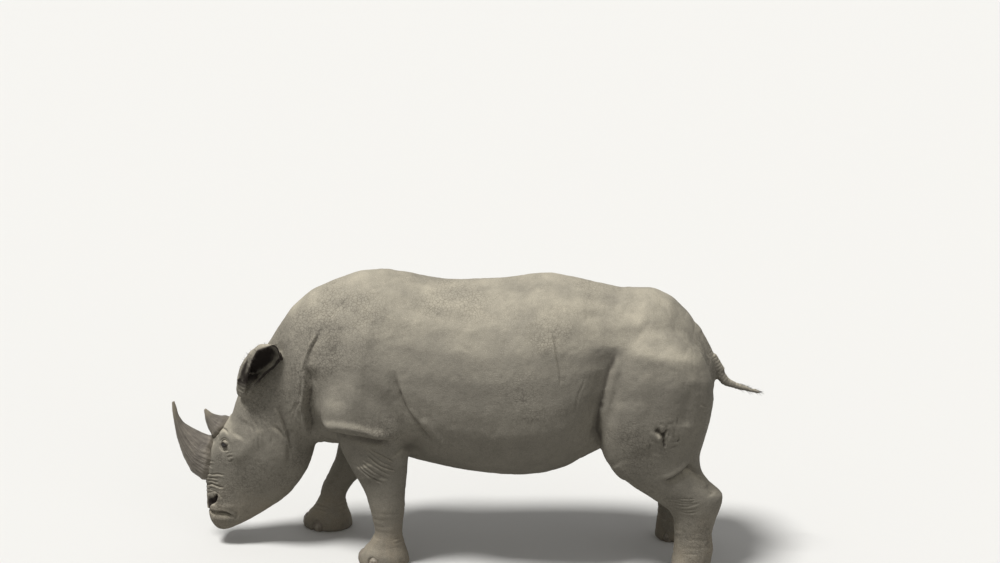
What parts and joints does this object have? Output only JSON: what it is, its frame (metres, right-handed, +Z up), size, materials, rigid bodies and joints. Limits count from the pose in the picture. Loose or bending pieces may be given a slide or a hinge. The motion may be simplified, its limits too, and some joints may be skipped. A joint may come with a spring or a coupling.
{
  "type": "white rhinoceros",
  "caption": "Life-size still model of a white rhinoceros grazing in mid-step, with lowered head, nose horns, cupped ears and a tail that swings out behind.",
  "frame": {"origin": "on the floor, under the middle of the box round the animal", "axes": "+Z up, -X the way the animal faces, -Y its left side"},
  "size_m": [3.468, 1.0356, 1.7],
  "materials": {
    "skin": "matt, dry, wrinkled hide with fine cracks and dust",
    "horn": "matt fibrous horn, worn smooth at the point",
    "nail": "matt, worn toenail",
    "eye": "wet, dark brown"
  },
  "bodies": {
    "root": {"trunk": "skin", "neck": "skin", "head": "skin", "jaw": "skin", "tail": "skin", "ear_left": "skin", "upper_foreleg_left": "skin", "lower_foreleg_left": "skin", "forefoot_left": "skin", "thigh_left": "skin", "hind_shank_left": "skin", "hindfoot_left": "skin", "ear_right": "skin", "upper_foreleg_right": "skin", "lower_foreleg_right": "skin", "forefoot_right": "skin", "thigh_right": "skin", "hind_shank_right": "skin", "hindfoot_right": "skin", "horn_front": "horn", "horn_rear": "horn", "eye_left": "eye", "eye_right": "eye", "nail_forefoot_left_inner": "nail", "nail_forefoot_left_middle": "nail", "nail_forefoot_left_outer": "nail", "nail_forefoot_right_inner": "nail", "nail_forefoot_right_middle": "nail", "nail_forefoot_right_outer": "nail", "nail_hindfoot_left_inner": "nail", "nail_hindfoot_left_middle": "nail", "nail_hindfoot_left_outer": "nail", "nail_hindfoot_right_inner": "nail", "nail_hindfoot_right_middle": "nail", "nail_hindfoot_right_outer": "nail"}
  },
  "joints": []
}
